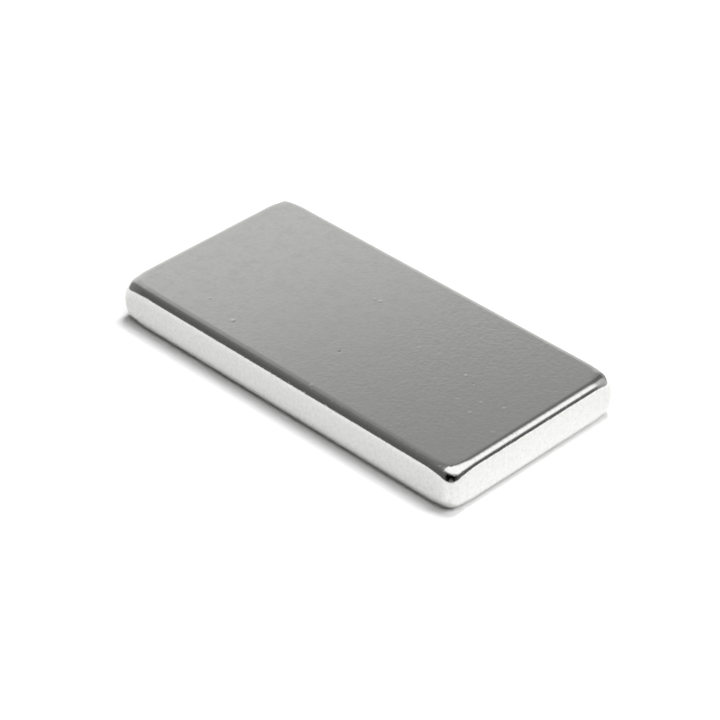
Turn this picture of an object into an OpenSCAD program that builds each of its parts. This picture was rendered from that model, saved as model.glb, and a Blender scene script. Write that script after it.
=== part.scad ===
// Block magnet: one solid rectangular plate, magnetised through its thickness, with tumbled edges.
// The origin is the middle of the lower pole face, X runs along the length and Z through the thickness.

/* [Block] */
// Length of the magnet, along X
magnet_length = 40; // [12:0.5:100]
// Width of the magnet, along Y
magnet_width = 20; // [10:0.5:60]
// Thickness of the magnet, from the lower pole face to the upper one
magnet_thickness = 4.2; // [3.2:0.1:20]

/* [Rounding] */
// Radius of the edges around both pole faces
edge_round = 0.8; // [0.2:0.1:1.5]
// Radius of each corner of a flat pole face, inside the rounded edges
flat_corner_round = 0.4; // [0.1:0.1:3]

/* [Hidden] */
$fn = 64;

// Radius of the four upright corners
corner_round = flat_corner_round + edge_round;
// Length and width of the sides between the upright corners
straight_length = magnet_length - 2 * corner_round;
straight_width = magnet_width - 2 * corner_round;

// Upright section across the magnet: flat above and below, rounded at its four corners
module section(across) {
    flat = across - 2 * edge_round;
    translate([-flat / 2, 0])
        square([flat, magnet_thickness]);
    translate([-across / 2, edge_round])
        square([across, magnet_thickness - 2 * edge_round]);
    for (side = [-1, 1], level = [edge_round, magnet_thickness - edge_round])
        translate([side * flat / 2, level])
            circle(r = edge_round);
}

// Section drawn out along X, between the upright corners of the two ends
module long_bar() {
    rotate([90, 0, 90])
        linear_extrude(height = straight_length, center = true)
            section(magnet_width);
}

// Section drawn out along Y, between the upright corners of the two long sides
module cross_bar() {
    rotate([90, 0, 0])
        linear_extrude(height = straight_width, center = true)
            section(magnet_length);
}

// Quarter turn of the section, which carries the rounded edges around one upright corner
module corner() {
    rotate_extrude(angle = 90)
        intersection() {
            section(2 * corner_round);
            square([corner_round, magnet_thickness]);
        }
}

// The whole magnet: two crossing bars, filled out by the four corners
module magnet() {
    color("silver") {
        long_bar();
        cross_bar();
        for (flip_x = [0, 1], flip_y = [0, 1])
            mirror([flip_x, 0, 0])
                mirror([0, flip_y, 0])
                    translate([straight_length / 2, straight_width / 2, 0])
                        corner();
    }
}

magnet();
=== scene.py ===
# Block magnet, nickel plated and tumbled: modelled, finished and lit as a small product shot.
import math
import bmesh
import bpy
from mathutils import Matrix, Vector


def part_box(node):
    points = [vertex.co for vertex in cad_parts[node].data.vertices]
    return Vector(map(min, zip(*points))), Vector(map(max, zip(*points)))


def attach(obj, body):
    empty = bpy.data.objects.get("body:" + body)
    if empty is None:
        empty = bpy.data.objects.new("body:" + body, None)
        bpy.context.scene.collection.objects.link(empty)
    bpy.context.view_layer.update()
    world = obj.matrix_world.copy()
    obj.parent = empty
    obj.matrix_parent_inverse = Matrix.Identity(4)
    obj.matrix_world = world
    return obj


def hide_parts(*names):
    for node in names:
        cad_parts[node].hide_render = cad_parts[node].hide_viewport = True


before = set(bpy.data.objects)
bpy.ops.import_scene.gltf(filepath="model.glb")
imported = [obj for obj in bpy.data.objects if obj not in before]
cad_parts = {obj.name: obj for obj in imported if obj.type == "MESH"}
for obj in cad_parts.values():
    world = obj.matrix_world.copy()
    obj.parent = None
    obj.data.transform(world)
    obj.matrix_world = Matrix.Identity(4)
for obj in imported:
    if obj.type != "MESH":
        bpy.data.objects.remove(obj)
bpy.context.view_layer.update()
mm = 0.001  # the scene is in metres, and the sizes below are given in millimetres times this


# Modelling helpers

straight = 0.999  # share of an edge or a normal that runs along one axis when it counts as straight


def deselectAll():
    if bpy.context.object and bpy.context.object.mode != "OBJECT":
        bpy.ops.object.mode_set(mode="OBJECT")
    bpy.ops.object.select_all(action="DESELECT")


def selectEdgesAlong(piece, axis, longerThan):
    # edit mode: picks the long edges that run along one axis
    mesh = bmesh.from_edit_mesh(piece.data)
    for edge in mesh.edges:
        run = edge.verts[1].co - edge.verts[0].co
        edge.select_set(run.length > longerThan and abs(run[axis]) > straight * run.length)
    bmesh.update_edit_mesh(piece.data)


def selectFlats(piece, largerThan):
    # edit mode: picks the six large flat faces
    mesh = bmesh.from_edit_mesh(piece.data)
    for face in mesh.faces:
        square = max(abs(part) for part in face.normal) > straight
        face.select_set(square and face.calc_area() > largerThan)
    bmesh.update_edit_mesh(piece.data)


def smoothStep(value):
    value = min(max(value, 0.0), 1.0)
    return value * value * (3.0 - 2.0 * value)


# Node helpers

def newMaterial(name):
    material = bpy.data.materials.new(name)
    material.use_nodes = True
    nodes = material.node_tree.nodes
    return material, nodes, material.node_tree.links, nodes["Principled BSDF"]


def addNode(nodes, kind, **settings):
    node = nodes.new(kind)
    for name, value in settings.items():
        if name in node.inputs:
            node.inputs[name].default_value = value
        else:
            setattr(node, name, value)
    return node


def addNoise(nodes, links, place, **settings):
    noise = addNode(nodes, "ShaderNodeTexNoise", **settings)
    links.new(place, noise.inputs["Vector"])
    return noise.outputs["Fac"]


def addRamp(nodes, stops):
    ramp = nodes.new("ShaderNodeValToRGB")
    elements = ramp.color_ramp.elements
    while len(elements) < len(stops):
        elements.new(0.5)
    for element, (place, grey) in zip(elements, stops):
        element.position = place
        element.color = (grey, grey, grey, 1.0)
    return ramp


def fadeBetween(nodes, links, value, zero, one):
    # 0 up to one end of the value's range and 1 past the other, with a soft step between
    fade = addNode(nodes, "ShaderNodeMapRange", interpolation_type="SMOOTHSTEP")
    fade.inputs["From Min"].default_value = min(zero, one)
    fade.inputs["From Max"].default_value = max(zero, one)
    fade.inputs["To Min"].default_value = 0.0 if zero < one else 1.0
    fade.inputs["To Max"].default_value = 1.0 if zero < one else 0.0
    links.new(value, fade.inputs["Value"])
    return fade.outputs["Result"]


def mixTones(nodes, links, mask, under, over, way="MIX"):
    blend = addNode(nodes, "ShaderNodeMix", data_type="RGBA", blend_type=way)
    links.new(mask, blend.inputs["Factor"])
    for socket, tone in ((blend.inputs[6], under), (blend.inputs[7], over)):  # its two colours
        if isinstance(tone, float):
            socket.default_value = (tone, tone, tone, 1.0)
        elif isinstance(tone, tuple):
            socket.default_value = tone
        else:
            links.new(tone, socket)
    return blend.outputs[2]


def mixValues(nodes, links, mask, under, over):
    blend = addNode(nodes, "ShaderNodeMix", data_type="FLOAT")
    links.new(mask, blend.inputs["Factor"])
    for socket, value in ((blend.inputs[2], under), (blend.inputs[3], over)):  # its two numbers
        if isinstance(value, float):
            socket.default_value = value
        else:
            links.new(value, socket)
    return blend.outputs[0]


def multiply(nodes, links, first, second):
    product = addNode(nodes, "ShaderNodeMath", operation="MULTIPLY")
    links.new(first, product.inputs[0])
    links.new(second, product.inputs[1])
    return product.outputs["Value"]


def addTimes(nodes, links, value, times, more):
    # value x times, plus more (another value, a number or nothing)
    total = addNode(nodes, "ShaderNodeMath", operation="MULTIPLY_ADD")
    links.new(value, total.inputs[0])
    total.inputs[1].default_value = times
    total.inputs[2].default_value = 0.0
    if isinstance(more, float):
        total.inputs[2].default_value = more
    elif more is not None:
        links.new(more, total.inputs[2])
    return total.outputs["Value"]


def vectorStep(nodes, links, way, first, second=None):
    # one step with vectors, of which the second is fixed
    step = addNode(nodes, "ShaderNodeVectorMath", operation=way)
    links.new(first, step.inputs[0])
    if second is not None:
        step.inputs[1].default_value = second
    givesNumber = way in ("LENGTH", "DISTANCE", "DOT_PRODUCT")
    return step.outputs["Value" if givesNumber else "Vector"]


# Magnet body

magnet = {
    "edgeRound": 0.88 * mm,     # radius of the tumbled edges
    "edgeSteps": 10,            # faces across one rounded edge
    "rim": 0.05 * mm,           # narrow strip that keeps the flats flat up to the edge
    "grid": 0.25 * mm,          # face size on the flats
    "uprightRound": 0.72 * mm,  # the upright edges are sharper half way up
    "uprightFrom": 0.6 * mm,    # how far from the upper and lower faces they start to get sharper
    "uprightFade": 1.2 * mm,    # and the height over which they do
    "cornerRound": 1.4 * mm,    # radius that the upper and lower corners are worn to
    "cornerReach": 2.8 * mm,    # how far from a corner that wear has faded out
}


def outside(point, size):
    # how far a point lies outside the worn block, below 0 inside it
    depths = [size.x / 2 - abs(point.x), size.y / 2 - abs(point.y), size.z / 2 - abs(point.z - size.z / 2)]
    fade = smoothStep(1.0 - math.hypot(*depths) / magnet["cornerReach"])
    radius = magnet["edgeRound"] + (magnet["cornerRound"] - magnet["edgeRound"]) * fade
    halfway = smoothStep((depths[2] - magnet["uprightFrom"]) / magnet["uprightFade"])
    radius -= (magnet["edgeRound"] - magnet["uprightRound"]) * halfway
    return math.hypot(*(max(0.0, radius - depth) for depth in depths)) - radius


def wearPoint(point, size):
    # moves one point straight down the slope onto the worn surface
    tries = 12
    closeEnough = 1e-9
    step = 0.001 * mm
    leastSlope = 0.05  # holds back the move where the slope all but vanishes
    for _ in range(tries):
        height = outside(point, size)
        if abs(height) < closeEnough:
            break
        slope = Vector()
        for axis in range(3):
            aside = point.copy()
            aside[axis] += step
            slope[axis] = (outside(aside, size) - height) / step
        point = point - slope * (height / max(slope.length_squared, leastSlope))
    return point


def modelMagnet():
    low, high = (Vector(corner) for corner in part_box("magnet"))
    size = high - low
    deselectAll()
    bpy.ops.mesh.primitive_cube_add(size=1.0, location=(low + high) / 2, scale=size)
    piece = bpy.context.object
    piece.name = "magnet_body"
    bpy.ops.object.transform_apply(location=True, rotation=True, scale=True)
    bpy.ops.object.mode_set(mode="EDIT")
    bpy.context.tool_settings.mesh_select_mode = (False, True, False)
    bpy.ops.mesh.select_all(action="SELECT")
    bpy.ops.mesh.bevel(offset=magnet["edgeRound"], segments=magnet["edgeSteps"], affect="EDGES")
    bpy.ops.mesh.select_all(action="DESELECT")
    selectFlats(piece, 0.1 * size.y * size.z)  # a tenth of an end face
    bpy.ops.mesh.inset(thickness=magnet["rim"], depth=0.0, use_individual=True)
    for axis in range(3):  # an even grid over the flats and along the rounded edges
        length = size[axis] - 2 * magnet["edgeRound"]
        bpy.ops.mesh.select_all(action="DESELECT")
        selectEdgesAlong(piece, axis, 0.6 * length)  # passes over what is cut up already
        bpy.ops.mesh.subdivide(number_cuts=round(length / magnet["grid"]) - 1)
    bpy.ops.object.mode_set(mode="OBJECT")
    for vertex in piece.data.vertices:
        vertex.co = wearPoint(vertex.co, size)
    bpy.ops.object.shade_smooth()
    return piece


# Nickel plating

nickel = {
    "color": (0.72, 0.72, 0.704, 1.0),
    "dullColor": (0.69, 0.69, 0.668, 1.0),  # in faint cloudy patches
    "sideShadeColor": (0.65, 0.65, 0.635, 1.0),  # on the upright faces: darker than the upper face, which is painted shade
    "speckColor": (0.575, 0.575, 0.56, 1.0),  # of the fine specks there
    "speckScale": 3000.0,
    "speckFade": (0.42, 0.70),  # noise level at which a speck starts, and at which it is full
    "topSpecks": 0.22,          # share of them that shows on the upper and lower faces
    "patchScale": 900.0,
    "patchFade": (0.42, 0.68),  # noise level at which a patch starts, and at which it is full
    "roughness": 0.11,
    "dullRoughness": 0.125,     # in the same patches
    "sideRoughness": 0.24,      # on the upright faces
    "sideTurn": (0.6, 0.1),     # share of up or down in the normal where that starts, and where it is full
    "grainScale": 3000.0,       # waves per metre of the fine orange peel
    "grainHeight": 0.0024 * mm,
    "rightGrain": 2.1,          # times as strong towards the right end
    "rightReach": 9.0 * mm,     # how far right of the middle it has grown to that
    "sideGrain": 3.0,           # times as strong on the upright faces
    # small marks on the upper face: x, y, width and height in mm, then how much lighter (+) or darker (-)
    # their colour is: painted glints (+) and painted shade (-) for how each catches the light
    "marks": ((-8.35, -7.37, 0.55, 0.012, 0.12), (-12.22, -6.50, 0.40, 0.005, -0.05),
              (1.37, -4.17, 0.42, -0.006, -0.50), (-1.47, 3.63, 0.50, 0.006, 0.10),
              (-2.05, 3.48, 0.40, 0.005, 0.06), (5.75, 1.04, 0.45, 0.003, 0.06),
              (7.66, 1.50, 0.50, 0.003, 0.05), (11.30, 0.85, 0.50, 0.005, 0.08),
              (12.56, 0.49, 0.40, -0.004, -0.08), (12.92, -1.95, 0.50, -0.003, 0.02),
              (15.12, -2.71, 0.50, 0.004, 0.08), (14.80, -1.06, 0.45, 0.003, 0.05),
              (16.71, -0.33, 0.55, 0.005, 0.11), (18.30, -3.35, 0.60, 0.003, 0.05),
              (3.15, -9.20, 0.45, 0.005, 0.20)),
    "edgeFlecks": 0.004 * mm,   # height of the tiny worn flecks along the edges
    "fleckGlint": 0.06,          # how much lighter they are: a painted glint
    "fleckScale": 3600.0,
    "fleckFade": (0.62, 0.72),  # noise level at which a fleck starts, and at which it is full
    "fleckTurn": (0.995, 0.9),  # and the share of up or down in the normal there
}


def nickelPlating(piece):
    material, nodes, links, shader = newMaterial("nickel_plating")
    shader.inputs["Metallic"].default_value = 1.0
    top = max(vertex.co.z for vertex in piece.data.vertices)
    place = addNode(nodes, "ShaderNodeTexCoord").outputs["Object"]
    split = addNode(nodes, "ShaderNodeSeparateXYZ")
    links.new(place, split.inputs["Vector"])
    facing = addNode(nodes, "ShaderNodeNewGeometry")
    turned = addNode(nodes, "ShaderNodeSeparateXYZ")
    links.new(facing.outputs["Normal"], turned.inputs["Vector"])
    tilt = addNode(nodes, "ShaderNodeMath", operation="ABSOLUTE")
    links.new(turned.outputs["Z"], tilt.inputs[0])
    # faint cloudy patches above and below, and rougher upright faces with fine specks, coloured darker as
    # painted shade
    patches = addNoise(nodes, links, place, Scale=nickel["patchScale"], Detail=4.0, Roughness=0.65)
    cloudy = fadeBetween(nodes, links, patches, *nickel["patchFade"])
    upright = fadeBetween(nodes, links, tilt.outputs["Value"], *nickel["sideTurn"])
    specks = addNoise(nodes, links, place, Scale=nickel["speckScale"], Detail=3.0, Roughness=0.7)
    speckled = fadeBetween(nodes, links, specks, *nickel["speckFade"])
    faint = addTimes(nodes, links, speckled, nickel["topSpecks"], None)
    color = mixTones(nodes, links, cloudy, nickel["color"], nickel["dullColor"])
    color = mixTones(nodes, links, faint, color, nickel["speckColor"])
    sides = mixTones(nodes, links, speckled, nickel["sideShadeColor"], nickel["speckColor"])
    color = mixTones(nodes, links, upright, color, sides)
    flats = mixValues(nodes, links, cloudy, nickel["roughness"], nickel["dullRoughness"])
    rough = mixValues(nodes, links, upright, flats, nickel["sideRoughness"])
    links.new(rough, shader.inputs["Roughness"])
    # orange peel, stronger to the right and strongest on the upright faces
    grain = addNoise(nodes, links, place, Scale=nickel["grainScale"], Detail=2.5, Roughness=0.55)
    right = addNode(nodes, "ShaderNodeMapRange")
    right.inputs["From Min"].default_value = 0.0
    right.inputs["From Max"].default_value = nickel["rightReach"]
    right.inputs["To Min"].default_value = nickel["grainHeight"]
    right.inputs["To Max"].default_value = nickel["grainHeight"] * nickel["rightGrain"]
    links.new(split.outputs["X"], right.inputs["Value"])
    onSides = nickel["grainHeight"] * nickel["sideGrain"]
    strength = mixValues(nodes, links, upright, right.outputs["Result"], onSides)
    height = multiply(nodes, links, grain, strength)
    # the few pimples and pits that show on the upper face, with painted glints and painted shade in their
    # colour
    shade = None
    for x, y, width, rise, markGlintShade in nickel["marks"]:
        away = vectorStep(nodes, links, "DISTANCE", place, (x * mm, y * mm, top))
        mark = fadeBetween(nodes, links, away, width / 2 * mm, 0.0)
        height = addTimes(nodes, links, mark, rise * mm, height)
        shade = addTimes(nodes, links, mark, markGlintShade, shade)
    # worn flecks along the rounded edges: real relief, and a lighter colour that is a painted glint
    flecks = addNoise(nodes, links, place, Scale=nickel["fleckScale"], Detail=1.0)
    few = fadeBetween(nodes, links, flecks, *nickel["fleckFade"])
    onEdge = fadeBetween(nodes, links, tilt.outputs["Value"], *nickel["fleckTurn"])
    worn = multiply(nodes, links, few, onEdge)
    height = addTimes(nodes, links, worn, nickel["edgeFlecks"], height)
    shade = addTimes(nodes, links, worn, nickel["fleckGlint"], shade)
    # the painted glints and painted shade of the marks and flecks lighten or darken the base colour
    paintedLightFactor = addTimes(nodes, links, shade, 1.0, 1.0)
    colorWithPaintedLight = addNode(nodes, "ShaderNodeVectorMath", operation="SCALE")
    links.new(color, colorWithPaintedLight.inputs[0])
    links.new(paintedLightFactor, colorWithPaintedLight.inputs["Scale"])
    links.new(colorWithPaintedLight.outputs["Vector"], shader.inputs["Base Color"])
    surface = addNode(nodes, "ShaderNodeBump", Strength=1.0, Distance=1.0)
    links.new(height, surface.inputs["Height"])
    links.new(surface.outputs["Normal"], shader.inputs["Normal"])
    return material


# Studio

studio = {
    "floorSize": 1.2,
    "floorGlow": 0.13,                  # white painted light that only the camera and the metal see, round the magnet: none at its foot, so that its shadow ends sooner
    "glowReach": 1.6 * mm,              # gap beside the long sides over which it comes in
    "glowSides": (5.0, 1.0, 1.0),       # beside the ends it comes in so many times sooner
    "farGlow": 0.75,                    # more of it, where the lamps hardly reach the floor
    "farReach": (40 * mm, 360 * mm),    # gap at which that starts, and at which it is full
    "keyPlace": (-0.005, 0.08, 0.42),   # casts the shadow, from nearly overhead
    "keySize": (0.10, 0.14),
    "keyPower": 1.13,
    "frontPlace": (0.16, -0.11, 0.42),  # a weak wide one that softens the shadow's inner edge
    "frontSize": (0.25, 0.25),
    "frontPower": 0.68,
    "backPlace": (0.33, 0.37, 0.30),    # a wide one low behind, to the right, turned to the magnet
    "backSize": (0.4, 0.3),
    "backPower": 2.3,
    "fill": 0.04,                       # light from the rest of the room on the floor
    # what the metal sees of the room: each side is a direction, and each fade says how nearly
    # one looks that way where the thing starts, and where it is full
    "roomTone": 1.15,
    "clothTone": 1.19,
    # edges of the soft cloth overhead, on a ceiling one metre up: outward x, outward y, distance, softness
    "clothSides": ((-1.0, 0.0, 0.32, 0.08), (0.0, -1.0, 0.76, 0.25), (0.8, -0.6, 1.12, 0.35),
                   (0.77, 0.63, 1.83, 0.6), (-0.66, 0.75, 0.48, 0.17)),
    # tones by height: the bare room, then the paper sweep behind with its soft upper edge
    "roomTones": ((0.0, 0.10), (0.10, 0.12), (0.34, 0.105), (0.57, 0.12), (0.71, 0.145), (0.87, 0.19)),
    "sweepTones": ((0.0, 0.83), (0.30, 0.73), (0.46, 0.63), (0.535, 0.615), (0.552, 0.532), (0.57, 0.43),
                   (0.592, 0.323), (0.603, 0.30), (0.68, 0.30), (0.79, 0.23), (1.0, 0.17)),
    "sweepSide": (-0.857, 0.515, 0.0),  # where the paper rises behind
    "sweepFade": (0.74, 0.96),
    "sweepTilt": (0.129, 0.129, 1.0),   # its upper edge hangs a little askew
    # a paler part of the room high on the left: where it starts along each axis, and where it is full
    "paneFades": (("X", -0.585, -0.665), ("Y", -0.27, 0.33), ("Z", 0.4, 0.6)),
    "paneTone": 0.47,
    "leftFade": (-0.64, -0.88),         # along x: a grey wall on the left
    "leftTone": 0.22,
    "wallSide": (0.087, 0.996, 0.0),    # a grey wall on the right
    "wallFade": (0.68, 0.94),
    "wallTop": (0.65, 0.35),            # along z: it fades out upwards
    "wallTone": 0.34,
    "cardSide": (0.454, 0.891, 0.0),    # and a pale card in front of it
    "cardFade": (0.951, 0.994),
    "cardTone": 0.5,
    "lensSide": (0.61, -0.66, 0.44),    # where the camera and its stand darken the room
    "lensFade": (0.70, 0.96),
    "lensTone": 0.0,
    "windowSide": (0.70, -0.70, 0.14),  # and a small window below it
    "windowFade": (0.965, 0.99),
    "windowTone": 0.2,
}


def layFloor():
    deselectAll()
    bpy.ops.mesh.primitive_plane_add(size=studio["floorSize"], location=(0, 0, 0))
    floor = bpy.context.object
    floor.name = "floor"
    material, nodes, links, shader = newMaterial("white_paper")
    shader.inputs["Roughness"].default_value = 1.0
    shader.inputs["Specular IOR Level"].default_value = 0.0
    shader.inputs["Base Color"].default_value = (1.0, 1.0, 1.0, 1.0)
    shader.inputs["Emission Color"].default_value = (1.0, 1.0, 1.0, 1.0)
    path = addNode(nodes, "ShaderNodeLightPath")
    seen = addNode(nodes, "ShaderNodeMath", operation="MAXIMUM")
    links.new(path.outputs["Is Camera Ray"], seen.inputs[0])
    links.new(path.outputs["Is Glossy Ray"], seen.inputs[1])
    # the gap from the magnet's outline, in metres
    low, high = (Vector(corner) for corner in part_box("magnet"))
    place = addNode(nodes, "ShaderNodeTexCoord").outputs["Object"]
    folded = vectorStep(nodes, links, "ABSOLUTE", place)
    beyond = vectorStep(nodes, links, "SUBTRACT", folded, (high.x, high.y, 0.0))
    apart = vectorStep(nodes, links, "MAXIMUM", beyond, (0.0, 0.0, 0.0))
    gap = vectorStep(nodes, links, "LENGTH", apart)
    uneven = vectorStep(nodes, links, "MULTIPLY", apart, studio["glowSides"])
    nearGap = vectorStep(nodes, links, "LENGTH", uneven)
    # painted light on the floor, growing with the gap: it lightens the magnet's shadow away from its foot
    near = fadeBetween(nodes, links, nearGap, 0.0, studio["glowReach"])
    far = fadeBetween(nodes, links, gap, *studio["farReach"])
    white = addTimes(nodes, links, near, studio["floorGlow"], None)
    white = addTimes(nodes, links, far, studio["farGlow"], white)
    glow = multiply(nodes, links, white, seen.outputs["Value"])
    links.new(glow, shader.inputs["Emission Strength"])
    floor.data.materials.append(material)


def hangLamp(name, aimed=False):
    place = Vector(studio[name + "Place"])
    lamp = bpy.data.lights.new(name, "AREA")
    lamp.shape = "RECTANGLE"
    lamp.size, lamp.size_y = studio[name + "Size"]
    lamp.energy = studio[name + "Power"]
    box = bpy.data.objects.new(name, lamp)
    bpy.context.scene.collection.objects.link(box)
    box.location = place
    if aimed:  # otherwise it shines straight down
        box.rotation_euler = (-place).to_track_quat("-Z", "Y").to_euler()
    box.visible_camera = False
    box.visible_glossy = False  # the metal sees the cloth that lightRoom draws


def sideMask(nodes, links, direction, side, fade):
    # 1 towards one side of the room, fading to 0 away from it
    toward = vectorStep(nodes, links, "DOT_PRODUCT", direction, side)
    return fadeBetween(nodes, links, toward, *fade)


def clothMask(nodes, links, direction, rise):
    # the part of the ceiling that the soft cloth covers
    height = addNode(nodes, "ShaderNodeMath", operation="MAXIMUM")
    height.inputs[1].default_value = 0.05  # so that nothing is divided by 0 at the horizon
    links.new(rise, height.inputs[0])
    covered = None
    for x, y, distance, softness in studio["clothSides"]:
        across = vectorStep(nodes, links, "DOT_PRODUCT", direction, (x, y, 0.0))
        ceiling = addNode(nodes, "ShaderNodeMath", operation="DIVIDE")
        links.new(across, ceiling.inputs[0])
        links.new(height.outputs["Value"], ceiling.inputs[1])
        beyond = distance + softness
        inside = distance - softness
        within = fadeBetween(nodes, links, ceiling.outputs["Value"], beyond, inside)
        covered = within if covered is None else multiply(nodes, links, covered, within)
    return covered


def drawRoom(nodes, links):
    # the tone that the metal sees in each direction
    place = addNode(nodes, "ShaderNodeTexCoord").outputs["Generated"]
    split = addNode(nodes, "ShaderNodeSeparateXYZ")
    links.new(place, split.inputs["Vector"])
    flat = vectorStep(nodes, links, "MULTIPLY", place, (1.0, 1.0, 0.0))
    level = vectorStep(nodes, links, "NORMALIZE", flat)
    # the bare room with a grey wall on either side
    room = addRamp(nodes, studio["roomTones"])
    links.new(split.outputs["Z"], room.inputs["Fac"])
    wall = sideMask(nodes, links, level, studio["wallSide"], studio["wallFade"])
    low = fadeBetween(nodes, links, split.outputs["Z"], *studio["wallTop"])
    lowWall = multiply(nodes, links, wall, low)
    tone = mixTones(nodes, links, lowWall, room.outputs["Color"], studio["wallTone"])
    left = fadeBetween(nodes, links, split.outputs["X"], *studio["leftFade"])
    tone = mixTones(nodes, links, left, tone, studio["leftTone"])
    # the paper sweep behind: bright low down, with a soft upper edge
    sweep = addRamp(nodes, studio["sweepTones"])
    height = vectorStep(nodes, links, "DOT_PRODUCT", place, studio["sweepTilt"])
    links.new(height, sweep.inputs["Fac"])
    behind = sideMask(nodes, links, level, studio["sweepSide"], studio["sweepFade"])
    tone = mixTones(nodes, links, behind, tone, sweep.outputs["Color"])
    pane = None
    for axis, zero, one in studio["paneFades"]:
        part = fadeBetween(nodes, links, split.outputs[axis], zero, one)
        pane = part if pane is None else multiply(nodes, links, pane, part)
    tone = mixTones(nodes, links, pane, tone, studio["paneTone"], "LIGHTEN")
    # the card, the camera's dark side, the window and the cloth, each over what came before
    card = sideMask(nodes, links, level, studio["cardSide"], studio["cardFade"])
    tone = mixTones(nodes, links, card, tone, studio["cardTone"])
    lens = sideMask(nodes, links, place, studio["lensSide"], studio["lensFade"])
    tone = mixTones(nodes, links, lens, tone, studio["lensTone"])
    window = sideMask(nodes, links, place, studio["windowSide"], studio["windowFade"])
    tone = mixTones(nodes, links, window, tone, studio["windowTone"])
    cloth = clothMask(nodes, links, place, split.outputs["Z"])
    return mixTones(nodes, links, cloth, tone, studio["clothTone"])


def lightRoom():
    # white for the camera, the drawn room for the metal and a weak fill for the rest
    world = bpy.data.worlds.new("studio_room")
    bpy.context.scene.world = world
    world.use_nodes = True
    nodes, links = world.node_tree.nodes, world.node_tree.links
    nodes.clear()
    seen = addNode(nodes, "ShaderNodeBackground", Strength=studio["roomTone"])
    links.new(drawRoom(nodes, links), seen.inputs["Color"])
    fill = addNode(nodes, "ShaderNodeBackground", Color=(1.0, 1.0, 1.0, 1.0), Strength=studio["fill"])
    white = addNode(nodes, "ShaderNodeBackground", Color=(1.0, 1.0, 1.0, 1.0), Strength=1.0)
    path = addNode(nodes, "ShaderNodeLightPath")
    inMetal = addNode(nodes, "ShaderNodeMixShader")
    links.new(path.outputs["Is Glossy Ray"], inMetal.inputs["Fac"])
    links.new(fill.outputs["Background"], inMetal.inputs[1])
    links.new(seen.outputs["Background"], inMetal.inputs[2])
    mix = addNode(nodes, "ShaderNodeMixShader")
    links.new(path.outputs["Is Camera Ray"], mix.inputs["Fac"])
    links.new(inMetal.outputs["Shader"], mix.inputs[1])
    links.new(white.outputs["Background"], mix.inputs[2])
    output = addNode(nodes, "ShaderNodeOutputWorld")
    links.new(mix.outputs["Shader"], output.inputs["Surface"])


# Camera

view = {
    "azimuth": 45.0,            # degrees from the front towards the right end
    "elevation": 35.47,
    "distance": 253.6 * mm,
    "target": (-0.35 * mm, 0.0, 0.36 * mm),
    "lens": 147.0,
    "sensor": 36.0,
    "clip": (0.01, 10.0),       # nearest and farthest that it sees
}


def placeCamera():
    data = bpy.data.cameras.new("camera")
    data.lens = view["lens"]
    data.sensor_width = view["sensor"]
    data.clip_start, data.clip_end = view["clip"]
    camera = bpy.data.objects.new("camera", data)
    bpy.context.scene.collection.objects.link(camera)
    azimuth, elevation = math.radians(view["azimuth"]), math.radians(view["elevation"])
    level = math.cos(elevation)
    back = Vector((math.sin(azimuth) * level, -math.cos(azimuth) * level, math.sin(elevation)))
    camera.location = back * view["distance"]
    aim = Vector(view["target"]) - camera.location
    camera.rotation_euler = aim.to_track_quat("-Z", "Y").to_euler()
    bpy.context.scene.camera = camera


# Putting it together

body = modelMagnet()
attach(body, "root")
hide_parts("magnet")
print("magnet modelled:", len(body.data.polygons), "faces")

body.data.materials.append(nickelPlating(body))
print("nickel plating applied")

layFloor()
hangLamp("key")
hangLamp("front")
hangLamp("back", aimed=True)
lightRoom()
print("studio lit")

placeCamera()
bpy.context.scene.view_settings.view_transform = "Standard"
print("camera placed")
